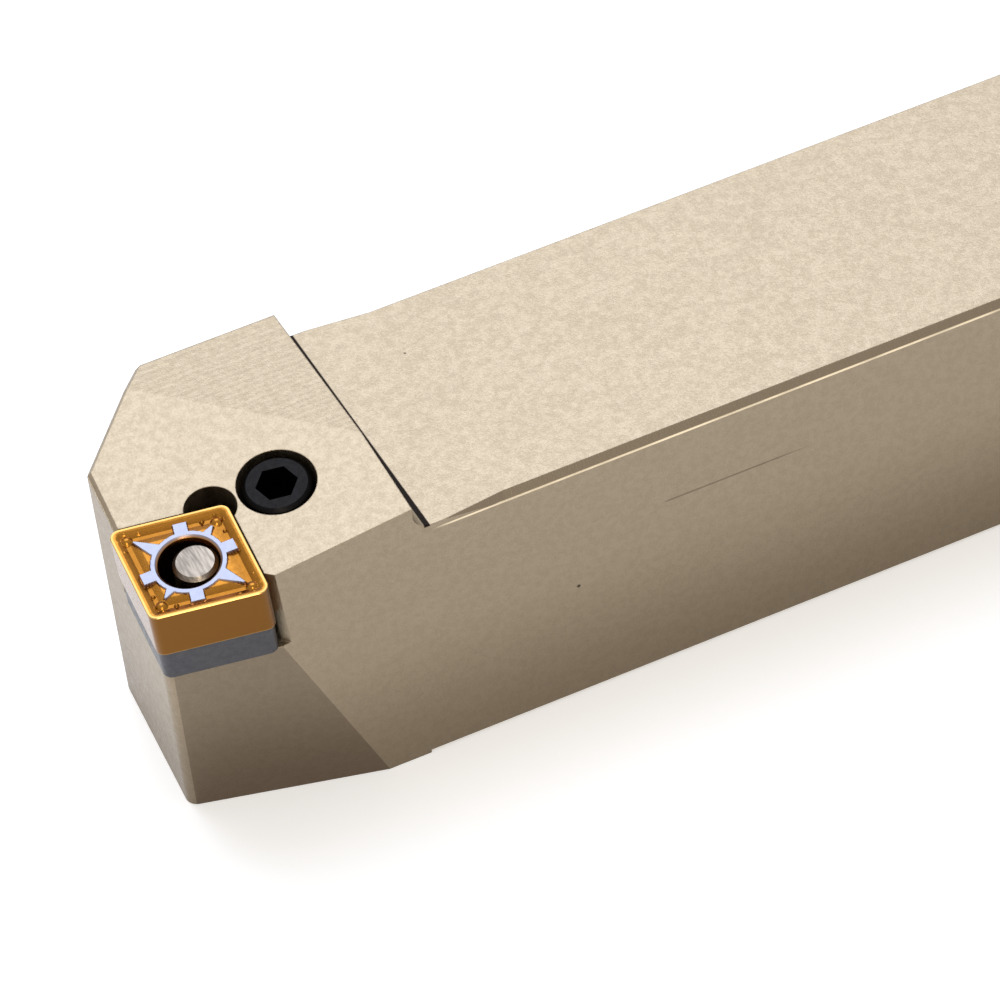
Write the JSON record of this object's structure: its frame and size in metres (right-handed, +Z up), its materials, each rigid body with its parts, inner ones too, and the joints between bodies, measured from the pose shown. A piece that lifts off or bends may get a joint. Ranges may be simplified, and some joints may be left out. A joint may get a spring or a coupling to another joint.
{
  "type": "lever-lock turning toolholder with insert",
  "caption": "Straight square-shank external turning toolholder, right-hand, with a rhombic insert clamped by a lever in a raised head.",
  "frame": {"origin": "middle of the shank's bottom face, under the foot of the head's rear wall", "axes": "+X along the shank to its rear end, +Y to the far side, +Z up"},
  "size_m": [0.1499, 0.026, 0.0282],
  "materials": {
    "nickel_steel": "satin nickel on steel, fine grain",
    "coated_carbide": "gold coating on carbide, with a ground pale face",
    "shim_carbide": "dark ground carbide",
    "black_steel": "black oxide",
    "bare_steel": "ground steel"
  },
  "bodies": {
    "holder": {"holder_body": "nickel_steel", "insert": "coated_carbide", "shim": "shim_carbide", "shim_pin": "bare_steel"},
    "lever": {"lever": "bare_steel"},
    "lever_screw": {"lever_screw": "black_steel"}
  },
  "joints": [
    {"name": "screw_travel", "type": "slide", "parent": "holder", "child": "lever_screw", "axis": [-0.115, -0.0949, 0.9888], "range_m": [0, 0.0006]},
    {"name": "lever_swing", "type": "hinge", "parent": "holder", "child": "lever", "pos_m": [-0.0167, -0.00634, 0.01375], "axis": [0.3465, -0.9368, -0.0496], "range_deg": [0, 5.32]}
  ],
  "couplings": [
    {"joint": "lever_swing", "follows": "screw_travel", "rad_per_m": 154.37}
  ]
}
